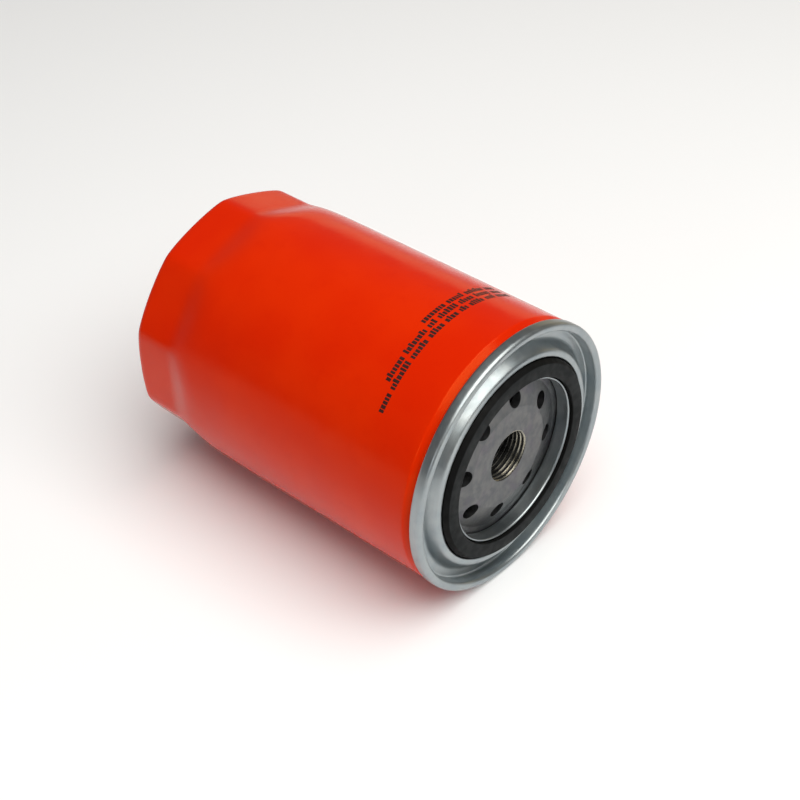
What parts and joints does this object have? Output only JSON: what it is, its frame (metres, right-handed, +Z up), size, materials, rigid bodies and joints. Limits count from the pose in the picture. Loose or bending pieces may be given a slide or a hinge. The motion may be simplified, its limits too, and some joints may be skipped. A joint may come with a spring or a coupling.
{
  "type": "oil filter",
  "caption": "Spin-on engine oil filter: painted steel can with wrench flats, seamed lid, sealing gasket, tapped base plate with oil inlets, and a pleated element with bypass valve inside.",
  "frame": {"origin": "centre of the threaded hole's outer mouth, on the flat boss of the base plate", "axes": "+X along the filter's axis, out of the mounting base; +Z up, with the filter lying on its side"},
  "size_m": [0.141, 0.0968, 0.0968],
  "materials": {
    "paint": "gloss orange-red enamel",
    "zinc": "bright zinc plate",
    "plate_steel": "dull stamped steel",
    "sealant": "cured compound",
    "nitrile": "satin black nitrile",
    "tinplate": "tinned steel",
    "paper": "resin-cured filter paper",
    "plastisol": "cured plastisol",
    "spring_steel": "oil-tempered wire",
    "ink": "black printing ink"
  },
  "bodies": {
    "housing": {"can_shell": "paint", "seaming_lid": "zinc", "seam_compound": "sealant", "tapping_plate": "plate_steel", "sealing_gasket": "nitrile", "anti_drain_valve": "nitrile", "element_spring": "spring_steel"},
    "element": {"end_cap_base": "tinplate", "end_cap_dome": "tinplate", "potting_base": "plastisol", "potting_dome": "plastisol", "pleated_media": "paper", "media_seam_clip": "tinplate", "centre_tube": "tinplate", "bypass_cage": "tinplate", "bypass_seat": "tinplate", "bypass_spring": "spring_steel", "spring_seat": "tinplate"},
    "bypass_valve": {"bypass_poppet": "tinplate", "bypass_seal": "nitrile"}
  },
  "joints": [
    {"name": "element_float", "type": "slide", "parent": "housing", "child": "element", "axis": [-1, 0, 0], "range_m": [0, 0.002], "stiffness_N_per_m": 12000, "springref_m": -0.006, "deforming": ["element_spring"]},
    {"name": "bypass_open", "type": "slide", "parent": "element", "child": "bypass_valve", "axis": [1, 0, 0], "range_m": [0, 0.005], "stiffness_N_per_m": 1500, "springref_m": -0.012, "deforming": ["bypass_spring"]}
  ]
}
